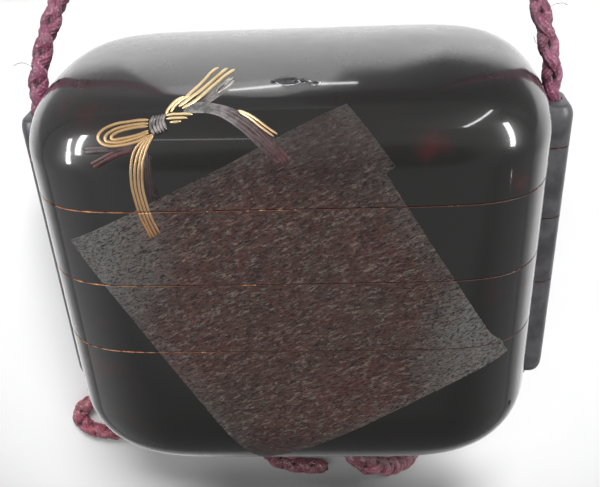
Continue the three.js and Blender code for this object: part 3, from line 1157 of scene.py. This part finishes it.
def makeBoard(name, low, high):
    lowRun, highRun = runOf(low), runOf(high)
    highRun = min(highRun, board["leftSide"][0][1])
    lowRun = max(lowRun, board["leftSide"][-1][1])
    rows = max(2, round((highRun - lowRun) / board["cell"]))
    s = np.linspace(lowRun, highRun, rows + 1)
    left, right = sideAt(board["leftSide"], s), sideAt(board["rightSide"], s)
    ragged = np.array([noise.noise(Vector((value * 1.6, 3.3, 0))) for value in s])
    right = right + board["edgeRough"] * ragged
    left = left + 0.5 * board["edgeRough"] * ragged[::-1]
    columns = max(4, round(float(np.max(right - left)) / board["cell"]))
    share = np.linspace(0, 1, columns + 1)
    x = left[:, None] + (np.maximum(right - left, 0.02))[:, None] * share[None]
    grid = np.repeat(s[:, None], columns + 1, axis=1)
    relief = grainHeight(x, grid)
    marks = markDepth(x, grid)
    lift = board["lift"] + board["relief"] * relief - board["strokeDeep"] * marks
    normals = frontNormal(x, grid)
    top = frontPoint(x, grid) + normals * lift[..., None]
    base = frontPoint(x, grid) - normals * board["sunk"]
    points = np.vstack([top.reshape(-1, 3), base.reshape(-1, 3)])
    piece = newPiece(name, points, sheetFaces(rows, columns), [grainedBoard])
    piece.data.set_sharp_from_angle(angle=math.radians(50))
    # painted sheen: greyer near the listed places and near the board's edges
    grey = np.zeros_like(x)
    for (greyX, greyS), reach in board["paintedSheenPlaces"]:
        grey = np.maximum(grey, np.clip(1 - np.hypot(x - greyX, grid - greyS) / reach, 0, 1))
    edgeNear = np.minimum(x - left[:, None], right[:, None] - x)
    grey = np.clip(1.25 * grey ** 0.8 + 0.25 * np.clip(1 - edgeNear / 5, 0, 1), 0, 1)
    addLayer(piece, "paintedSheen", [grey.ravel()] * 2)
    addLayer(piece, "markShade", [marks.ravel() * 0.8] * 2)


jointGap = seamLine["gap"] + 0.1
boardSpans = {
    "board_on_lid": (seamY["lid"] + jointGap / 2, halfHeight - 1),
    "board_on_upper_tray": (seamY["upper"] + jointGap / 2, seamY["lid"] - jointGap),
    "board_on_middle_tray": (seamY["middle"] + jointGap / 2, seamY["upper"] - jointGap),
    "board_on_lower_case": (-halfHeight + 0.5, seamY["middle"] - jointGap),
}
for boardName, (boardLow, boardHigh) in boardSpans.items():
    makeBoard(boardName, boardLow, boardHigh)
print("board made")


# The bow: raised strands laid on the lacquer. Points are x and s, in mm.

strandForm = {"sunk": 0.08, "sides": 10, "step": 0.2}


def strandParts(points, width, height, lift=0.0, flatStart=False, flatEnd=False):
    line, _ = smoothLine([(x, s, 0) for x, s in points], strandForm["step"])
    x, s = line[:, 0], line[:, 1]
    centre = frontPoint(x, s)
    normal = frontNormal(x, s)
    across = unit(np.cross(normal, unit(np.gradient(centre, axis=0))))
    total = len(line)
    # free ends taper over three rings
    taper = np.ones(total)
    for i in range(min(3, total // 3)):
        value = math.sqrt((i + 0.5) / 3.2)
        if not flatStart:
            taper[i] = value
        if not flatEnd:
            taper[-1 - i] = value
    rings = []
    count = strandForm["sides"]
    for i in range(count):
        angle = 2 * math.pi * i / count
        wide = width / 2 * math.cos(angle) * taper
        high = height * math.sin(angle) * taper if math.sin(angle) >= 0 else -strandForm["sunk"]
        rings.append(centre + across * wide[:, None] + normal * np.broadcast_to(high + lift, total)[:, None])
    faces = tubeFaces(total, count)
    return np.stack(rings, axis=1).reshape(-1, 3).tolist(), faces, [0] * len(faces)


def splitAtSeam(points, seam):
    # parts a strand that runs down over a joint
    line, _ = smoothLine([(x, s, 0) for x, s in points], 0.04)
    gap = seamLine["gap"] / 2 + 0.005
    above = [(x, s) for x, s, _ in line if s > seam + gap]
    below = [(x, s) for x, s, _ in line if s < seam - gap]
    return above, below


bandLooks = {
    "gold": (gold, "gold_lacquer"),
    "silver": (silver, "pewter_lacquer"),
    "pewter": (pewter, "pewter_lacquer"),
    "tail": (tailLacquer, "pewter_lacquer"),
    "brown": (darkBrown, "panel_lacquer"),
    "red": (darkRed, "panel_lacquer"),
}

bowBands = {
    "gold_loop": {
        "strands": [
            [
                (-18.1, 32.8), (-19.5, 32.8), (-20.9, 32.6), (-22.3, 32.4), (-23.5, 32.0), (-24.4, 31.5),
                (-25.0, 30.9), (-25.2, 30.4), (-24.9, 29.8), (-24.3, 29.4), (-23.4, 29.2), (-21.9, 29.3),
                (-20.3, 29.6), (-19.1, 30.0), (-18.1, 30.6),
            ],
            [
                (-18.1, 32.3), (-19.7, 32.2), (-21.0, 32.0), (-22.3, 31.7), (-23.2, 31.3), (-23.9, 30.8),
                (-24.2, 30.3), (-24.0, 29.9), (-23.3, 29.7), (-22.1, 29.7), (-20.7, 30.0), (-19.3, 30.4),
                (-18.1, 31.0),
            ],
            [
                (-18.2, 31.9), (-19.5, 31.8), (-20.7, 31.6), (-21.9, 31.3), (-22.8, 30.9), (-23.3, 30.4),
                (-23.1, 30.1), (-21.9, 30.2), (-20.3, 30.5), (-18.9, 30.9), (-18.1, 31.3),
            ],
        ],
        "look": "gold", "width": 0.48,
    },
    "gold_tail": {
        "strands": [
            [
                (-17.9, 30.7), (-18.7, 30.0), (-19.5, 29.3), (-20.1, 28.5), (-20.5, 27.5), (-20.8, 26.2),
                (-21.0, 24.8), (-21.1, 23.2), (-21.0, 21.6), (-20.8, 19.8), (-20.5, 18.0), (-20.0, 16.4),
                (-19.6, 14.9),
            ],
            [
                (-17.7, 30.7), (-18.4, 30.0), (-19.1, 29.1), (-19.6, 28.2), (-20.0, 27.1), (-20.3, 25.9),
                (-20.5, 24.6), (-20.6, 23.0), (-20.5, 21.4), (-20.3, 19.7), (-20.0, 18.0), (-19.6, 16.4),
                (-19.1, 15.0),
            ],
            [
                (-17.6, 30.8), (-18.1, 30.0), (-18.7, 29.0), (-19.2, 28.0), (-19.5, 26.9), (-19.8, 25.7),
                (-20.0, 24.4), (-20.1, 22.9), (-20.0, 21.3), (-19.8, 19.7), (-19.5, 18.0), (-19.1, 16.6),
                (-18.7, 15.3),
            ],
            [
                (-17.4, 30.9), (-17.8, 30.0), (-18.3, 29.0), (-18.7, 28.0), (-19.1, 26.9), (-19.3, 25.7),
                (-19.5, 24.4), (-19.6, 22.9), (-19.5, 21.3), (-19.3, 19.7), (-19.0, 18.1), (-18.6, 16.8),
                (-18.2, 15.7),
            ],
        ],
        "look": "gold", "width": 0.42, "overSeam": True,
    },
    "gold_upright": {
        "strands": [
            [
                (-13.5, 36.3), (-12.7, 38.0), (-12.0, 39.5), (-11.3, 41.3), (-10.8, 43.1), (-10.3, 44.4),
                (-9.8, 45.3),
            ],
            [
                (-14.1, 34.9), (-13.3, 35.8), (-12.5, 36.8), (-11.7, 37.9), (-11.0, 39.2), (-10.3, 40.7),
                (-9.6, 42.3), (-9.0, 43.7), (-8.4, 45.0),
            ],
            [
                (-13.6, 34.6), (-12.7, 35.2), (-11.8, 36.1), (-11.0, 37.2), (-10.3, 38.6), (-9.5, 40.2),
                (-8.7, 42.0), (-8.0, 43.3), (-7.3, 44.5),
            ],
        ],
        "look": "gold", "width": 0.55,
    },
    "gold_turn": {
        "strands": [
            [(-15.8, 33.5), (-15.5, 34.4), (-15.0, 35.3), (-14.4, 36.1), (-13.5, 36.8)],
            [(-15.1, 33.9), (-14.7, 34.9), (-14.1, 35.7), (-13.5, 36.4), (-12.8, 37.0)],
        ],
        "look": "gold", "width": 0.44, "lift": 0.12,
    },
    "gold_fan": {
        "strands": [
            [(-15.8, 33.4), (-14.9, 33.6), (-13.8, 33.6), (-13.0, 33.6), (-12.1, 33.5)],
            [(-15.7, 32.9), (-14.7, 33.0), (-13.7, 33.0), (-12.8, 33.0)],
            [(-15.2, 32.4), (-14.3, 32.4), (-13.6, 32.5)],
        ],
        "look": "gold", "width": 0.42, "lift": 0.05,
    },
    "gold_edge_strand": {
        "strands": [
            [(-5.9, 34.0), (-4.7, 33.5), (-3.5, 32.7), (-2.4, 31.8), (-1.4, 31.0), (-0.4, 30.3)],
            [(-5.7, 33.7), (-4.7, 33.1), (-3.7, 32.3), (-2.8, 31.5), (-1.8, 30.7), (-0.9, 30.0)],
        ],
        "look": "gold", "width": 0.36,
    },
    "silver_upright": {
        "strands": [
            [(-9.2, 37.6), (-9.0, 38.7), (-8.4, 39.9), (-7.7, 41.5)],
            [(-9.0, 37.4), (-8.2, 38.4), (-7.5, 39.5), (-7.0, 40.9)],
            [(-8.2, 39.6), (-7.6, 41.0), (-7.1, 41.8)],
        ],
        "look": "silver", "width": 0.24, "height": 0.14, "lift": 0.06,
    },
    "pewter_upright": {
        "strands": [
            [(-11.7, 35.3), (-10.5, 36.4), (-9.5, 37.8), (-8.6, 39.8), (-7.6, 42.0)],
            [(-11.4, 35.1), (-10.2, 36.1), (-9.1, 37.4), (-8.2, 39.2), (-7.2, 41.4)],
            [(-11.1, 34.9), (-9.8, 35.9), (-8.7, 37.1), (-7.7, 38.7), (-6.8, 40.8)],
        ],
        "look": "pewter", "width": 0.5, "height": 0.07,
    },
    "pewter_tail": {
        "strands": [
            [
                (-12.9, 34.9), (-11.2, 35.4), (-9.1, 35.0), (-7.3, 34.4), (-6.2, 33.8), (-4.7, 32.6),
                (-3.1, 31.2), (-1.8, 29.9), (-0.1, 28.2), (1.3, 26.5),
            ],
            [
                (-13.2, 34.6), (-11.3, 34.9), (-9.2, 34.6), (-7.5, 34.0), (-6.4, 33.3), (-4.9, 32.2),
                (-3.4, 30.9), (-2.0, 29.5), (-0.5, 27.8), (0.9, 26.1),
            ],
            [
                (-13.4, 34.2), (-11.3, 34.5), (-9.4, 34.2), (-7.8, 33.6), (-6.6, 32.8), (-5.2, 31.7),
                (-3.7, 30.4), (-2.3, 29.1), (-0.8, 27.4), (0.5, 25.9),
            ],
            [
                (-13.4, 33.9), (-11.4, 34.0), (-9.5, 33.8), (-8.0, 33.2), (-6.8, 32.4), (-5.4, 31.3),
                (-4.0, 30.0), (-2.7, 28.6), (-1.2, 27.0), (0.1, 25.6),
            ],
        ],
        "look": "tail", "width": 0.56, "height": 0.09,
    },
    "brown_tail_left": {
        "strands": [
            [(-18.4, 30.0), (-20.4, 29.2), (-21.9, 29.0), (-24.2, 29.0), (-26.0, 28.9), (-27.3, 28.8)],
            [(-18.4, 29.7), (-20.4, 28.9), (-21.9, 28.6), (-24.2, 28.6), (-26.0, 28.4), (-27.3, 28.3)],
        ],
        "look": "brown", "width": 0.62, "height": 0.05,
    },
    "red_tail_left": {
        "strands": [
            [(-20.6, 29.0), (-22.3, 28.6), (-23.9, 27.9), (-25.2, 27.2), (-26.5, 26.6)],
            [(-20.4, 28.6), (-22.1, 28.2), (-23.7, 27.5), (-25.0, 26.8), (-26.2, 26.2)],
        ],
        "look": "red", "width": 0.66, "height": 0.05,
    },
    "brown_tail_down": {
        "strands": [
            [(-18.4, 28.8), (-18.7, 26.4), (-18.8, 23.6), (-18.4, 21.4)],
            [(-18.2, 28.4), (-18.4, 26.2), (-18.4, 23.5), (-17.9, 21.1)],
            [(-18.0, 28.0), (-18.1, 26.0), (-18.0, 23.4), (-17.4, 21.3)],
        ],
        "look": "brown", "width": 0.46, "height": 0.06,
    },
    "pewter_bow_knot": {
        "strands": [
            [(-17.4, 33.4), (-17.8, 32.4), (-17.7, 31.5), (-17.2, 30.6)],
            [(-17.0, 33.4), (-17.4, 32.5), (-17.2, 31.6), (-16.7, 30.7)],
            [(-16.6, 33.5), (-16.9, 32.6), (-16.7, 31.6), (-16.3, 30.8)],
            [(-16.2, 33.6), (-16.5, 32.7), (-16.3, 31.8), (-15.9, 31.0)],
            [(-15.8, 33.7), (-16.1, 32.8), (-15.9, 32.0), (-15.5, 31.2)],
        ],
        "look": "pewter", "width": 0.48, "height": 0.26, "lift": 0.14,
    },
}


def makeBand(name, band):
    parts = MeshParts()
    width, height, lift = band["width"], band.get("height", 0.2), band.get("lift", 0)
    for strand in band["strands"]:
        if band.get("overSeam"):
            above, below = splitAtSeam(strand, runOf(seamY["lid"]))
            parts.add(*strandParts(above, width, height, lift, flatEnd=True))
            parts.add(*strandParts(below, width, height, lift, flatStart=True))
        else:
            parts.add(*strandParts(strand, width, height, lift))
    material, slot = bandLooks[band["look"]]
    parts.piece(name, [material], slot)


for bandName, band in bowBands.items():
    makeBand(bandName, band)
print("bow made")


# Chips, cut out of the lacquer

chips = [  # place on the front, half sizes in mm and turn in degrees
    {"piece": "lid", "place": (0.7, 40.6), "half": (1.75, 1.05, 0.5), "turn": -4},
    {"piece": "lid", "place": (2.9, 40.5), "half": (0.5, 0.4, 0.28), "turn": 20},
    {"piece": "lid", "place": (3.4, 40.1), "half": (0.3, 0.55, 0.22), "turn": 30},
    {"piece": "lid", "place": (4.5, 39.4), "half": (0.7, 0.42, 0.3), "turn": -10},
    {"piece": "lid", "place": (-1.3, 40.3), "half": (0.45, 0.5, 0.2), "turn": 40},
    {"piece": "lower_case", "place": (35.2, -20.6), "half": (0.5, 0.7, 0.3), "turn": 15},
]


def chipCutter(chip, seed):
    mesh = bmesh.new()
    bmesh.ops.create_icosphere(mesh, subdivisions=4, radius=1)
    x, s = chip["place"]
    place = frontPoint(np.array([x]), np.array([s]))[0]
    up = Vector(frontNormal(np.array([x]), np.array([s]))[0])
    turn = math.radians(chip["turn"])
    along = Vector((1, 0, 0)) - up * up.x
    along.normalize()
    side = up.cross(along)
    first = along * math.cos(turn) + side * math.sin(turn)
    second = up.cross(first)
    half = chip["half"]
    for vertex in mesh.verts:
        rough = 1 + 0.22 * noise.noise(vertex.co * 1.6 + Vector((seed * 7.3, 0, 0)))
        c = vertex.co * rough
        offset = first * (c.x * half[0]) + second * (c.y * half[1]) + up * (c.z * half[2])
        vertex.co = (Vector(place) + offset) * mm
    cutter = bpy.data.meshes.new("chipCutter")
    mesh.to_mesh(cutter)
    mesh.free()
    return cutter


def cutChips():
    for name in ("lid", "lower_case"):
        piece = shells[name]
        cutters = []
        for seed, chip in enumerate(chips):
            if chip["piece"] != name:
                continue
            cutterMesh = chipCutter(chip, seed)
            cutterMesh.materials.append(chipGround)
            cutter = bpy.data.objects.new("chipCutter", cutterMesh)
            bpy.context.scene.collection.objects.link(cutter)
            cutters.append(cutter)
            modifier = piece.modifiers.new("chip", "BOOLEAN")
            modifier.operation = "DIFFERENCE"
            modifier.solver = "EXACT"
            modifier.material_mode = "TRANSFER"
            modifier.object = cutter
        graph = bpy.context.evaluated_depsgraph_get()
        carved = bpy.data.meshes.new_from_object(piece.evaluated_get(graph))
        piece.modifiers.clear()
        piece.data = carved
        carved.set_sharp_from_angle(angle=math.radians(40))
        for cutter in cutters:
            bpy.data.objects.remove(cutter)


cutChips()

# raised flaked lips round the chips, painted pale: a painted highlight along their edges
chipLips = [  # flaked lips round the chips, x and s in mm; the last value is the width
    ([(1.7, 40.9), (0.6, 41.6), (-0.4, 41.6), (-1.1, 40.8), (-0.6, 39.7), (0.5, 39.2), (1.9, 39.4)], 0.2),
    ([(1.9, 39.4), (2.5, 40.0), (2.0, 40.7)], 0.14),
    ([(2.5, 40.8), (3.2, 40.9), (3.5, 40.4), (3.9, 39.6), (4.1, 39.0)], 0.16),
    ([(3.0, 39.7), (3.6, 40.3), (4.2, 39.9)], 0.14),
    ([(4.0, 39.1), (4.6, 39.0), (5.2, 39.3), (5.4, 39.7), (4.8, 39.9)], 0.15),
]


def makeChipLips():
    parts = MeshParts()
    for points, width in chipLips:
        parts.add(*strandParts(points, width, 0.05))
    parts.piece("chip_lips", [paleLipHighlight], "black_lacquer")


makeChipLips()
print("chips cut")


# Floor, lights and world

studio = {
    "floorSize": 3.0,
    "floorColour": (0.82, 0.82, 0.82),
    # past the pale sheet's far edge the floor is dark, lighter on the left than on the right
    "pastLeft": (0.2, 0.2, 0.205),
    "pastRight": (0.085, 0.085, 0.088),
    "sheetEdge": [  # x and y of that edge, in mm
        (-50, 41), (-44, 46), (-39, 65), (-33, 82), (-28, 80), (-24, 80), (-19, 98), (-11, 100), (-4, 84),
        (0, 71), (7, 67), (13, 57), (19, 56), (26, 56), (32, 52), (38, 46), (50, 44),
    ],
    # painted light pool: tone of the sheet by distance from the case; and a painted shadow in front of the
    # case; in metres
    "paintedLightPool": [(0.0, 1), (0.08, 1), (0.1, 0.94), (0.15, 0.56), (0.3, 0.38), (0.6, 0.3)],
    "paintedShadow": {"y": (-0.07, -0.088), "middle": 0.004, "aside": (0.048, 0.024), "colour": (0.25, 0.25, 0.25)},
    "far": 1.4,  # how far off the lights are
    "key": {"ends": [(64, 34), (88, 34)], "thick": 12, "power": 35.5},
    "bars": {
        # ends as azimuth and height in degrees, thickness in degrees, brightness
        "rightBar": {"ends": [(45, 18), (7, 36)], "thick": 6, "bright": 38},
        "leftBarUpper": {"ends": [(185, 42), (160, 38)], "thick": 4.5, "bright": 36},
        "leftBarMiddle": {"ends": [(160, 38), (141, 25.5)], "thick": 3, "bright": 36},
        "leftBarLower": {"ends": [(161, 48), (129, 28)], "thick": 4, "bright": 36},
        "thinBar": {"ends": [(69, 38), (61, 3)], "thick": 1.3, "bright": 22},
        "dot": {"ends": [(-29.35, 31), (-29.05, 31)], "thick": 0.9, "bright": 32},
        "highLine": {"ends": [(113, 47), (99, 52)], "thick": 1.2, "bright": 4},
    },
    "glints": {
        # bright strips lying past the lid, seen only in the lacquer; ends in mm
        "softGlint": {"ends": [(-27, 68.5), (-4, 65)], "thick": 9, "bright": 0.6, "height": 0.4},
        "brightGlint": {"ends": [(-15, 67), (-4, 64.4)], "thick": 1.2, "bright": 9, "height": 0.9},
        "sharpGlint": {"ends": [(2, 64.5), (11, 64.5)], "thick": 1.2, "bright": 9, "height": 0.4},
    },
}


def radialTone(tree, stops):
    # a tone that changes with the distance from the case
    span = stops[-1][0]
    inputs = {"Vector": rawCoords(tree), "Location": (0, 0.010, 0)}
    shifted = addNode(tree, "ShaderNodeMapping", {"vector_type": "POINT"}, inputs).outputs["Vector"]
    length = addNode(tree, "ShaderNodeVectorMath", {"operation": "LENGTH"}, {0: shifted}).outputs["Value"]
    return rampOf(tree, mathOf(tree, "DIVIDE", length, span), [(place / span, tone) for place, tone in stops])


def makeFloor():
    half = studio["floorSize"] / 2
    mesh = bpy.data.meshes.new("floor")
    corners = [(-half, -half, 0), (half, -half, 0), (half, half, 0), (-half, half, 0)]
    mesh.from_pydata(corners, [], [(0, 1, 2, 3)])
    floor = bpy.data.objects.new("floor", mesh)
    bpy.context.scene.collection.objects.link(floor)
    material, tree, shader = newMaterial("paleFloor")
    x, y, _ = placesOf(tree, rawCoords(tree))
    aside, along = 50, 200  # the far edge is drawn inside this half width and depth, in mm
    stops = [((edgeX + aside) / (2 * aside), edgeY / along) for edgeX, edgeY in studio["sheetEdge"]]
    farEdge = timesOf(tree, rampOf(tree, rangeOf(tree, x, -aside * mm, aside * mm), stops), along * mm)
    grain = noiseOf(tree, objectCoords(tree), 60, 3)
    colour = studio["floorColour"]
    sheet = mixOf(tree, grain, colour, tuple(value * 0.97 for value in colour))
    # painted light pool: the sheet is brighter near the case and darker away from it
    sheet = mixOf(tree, 1, sheet, radialTone(tree, studio["paintedLightPool"]), "MULTIPLY")
    # painted shadow: the sheet is darker in front of the case's lower end
    paintedShadow = studio["paintedShadow"]
    fromMiddle = mathOf(tree, "ABSOLUTE", mathOf(tree, "SUBTRACT", x, paintedShadow["middle"]))
    paintedShadowMask = timesOf(tree, rangeOf(tree, y, *paintedShadow["y"]), rangeOf(tree, fromMiddle, *paintedShadow["aside"]))
    sheet = mixOf(tree, paintedShadowMask, sheet, paintedShadow["colour"])
    beyond = blendOf(tree, x, -0.02, 0.012, studio["pastLeft"], studio["pastRight"])
    tone = blendOf(tree, mathOf(tree, "SUBTRACT", y, farEdge), -0.005, 0.005, sheet, beyond)
    dress(tree, shader, tone, 0.7, {"Specular IOR Level": 0.2})
    mesh.materials.append(material)


def makeLight(name, start, end, thick, facing, bright=None, power=None):
    # a flat strip from start to end that shines towards facing, all in metres
    data = bpy.data.lights.new(name, "AREA")
    data.shape = "RECTANGLE"
    along = end - start
    data.size, data.size_y = along.length, thick
    data.energy = power or bright * math.pi * along.length * thick
    lamp = bpy.data.objects.new(name, data)
    first = along.normalized()
    back = -facing
    back = (back - first * back.dot(first)).normalized()
    side = back.cross(first)
    turn = Matrix((first, side, back)).transposed()
    lamp.matrix_world = Matrix.Translation((start + end) / 2) @ turn.to_4x4()
    lamp.visible_camera = False
    bpy.context.scene.collection.objects.link(lamp)
    return lamp


lightTarget = Vector((0, 0.02, 0.03))


def awayPoint(azimuth, height):
    azimuth, height = math.radians(azimuth), math.radians(height)
    away = Vector((
        math.cos(height) * math.cos(azimuth), math.cos(height) * math.sin(azimuth), math.sin(height),
    ))
    return lightTarget + away * studio["far"]


def makeLights():
    key = studio["key"]
    start, end = (awayPoint(*place) for place in key["ends"])
    thick = studio["far"] * math.radians(key["thick"])
    lamp = makeLight("key", start, end, thick, lightTarget - (start + end) / 2, power=key["power"])
    lamp.visible_glossy = False
    for name, bar in studio["bars"].items():
        start, end = (awayPoint(*place) for place in bar["ends"])
        thick = studio["far"] * math.radians(bar["thick"])
        lamp = makeLight(name, start, end, thick, lightTarget - (start + end) / 2, bright=bar["bright"])
        lamp.visible_diffuse = False
    for name, glint in studio["glints"].items():
        start, end = (Vector((x, y, glint["height"])) * mm for x, y in glint["ends"])
        lamp = makeLight(name, start, end, glint["thick"] * mm, Vector((0, 0, 1)), bright=glint["bright"])
        lamp.visible_diffuse = False


def makeWorld():
    # dim overhead, lighter towards the left
    world = bpy.data.worlds.new("studio")
    world.use_nodes = True
    tree = world.node_tree
    x, y, z = placesOf(tree, rawCoords(tree, "Generated"))
    left = rangeOf(tree, x, 0.1, -0.95)
    near = blendOf(tree, x, -0.2, -0.8, (0.13, 0.13, 0.133), (0.66, 0.66, 0.67))
    near = blendOf(tree, x, 0.2, 0.8, near, (0.36, 0.36, 0.365))
    low = blendOf(tree, y, 0.1, -0.7, mixOf(tree, left, (0.29, 0.29, 0.295), (0.5, 0.5, 0.51)), near)
    high = mixOf(tree, left, (0.36, 0.36, 0.365), (0.68, 0.68, 0.69))
    overhead = mixOf(tree, left, (0.15, 0.15, 0.153), (0.32, 0.32, 0.325))
    tone = blendOf(tree, z, 0.89, 0.97, blendOf(tree, z, 0.7, 0.8, low, high), overhead)
    tree.links.new(tone, tree.nodes["Background"].inputs["Color"])
    bpy.context.scene.world = world


makeFloor()
makeLights()
makeWorld()
bpy.context.scene.view_settings.view_transform = "Standard"
print("studio made")
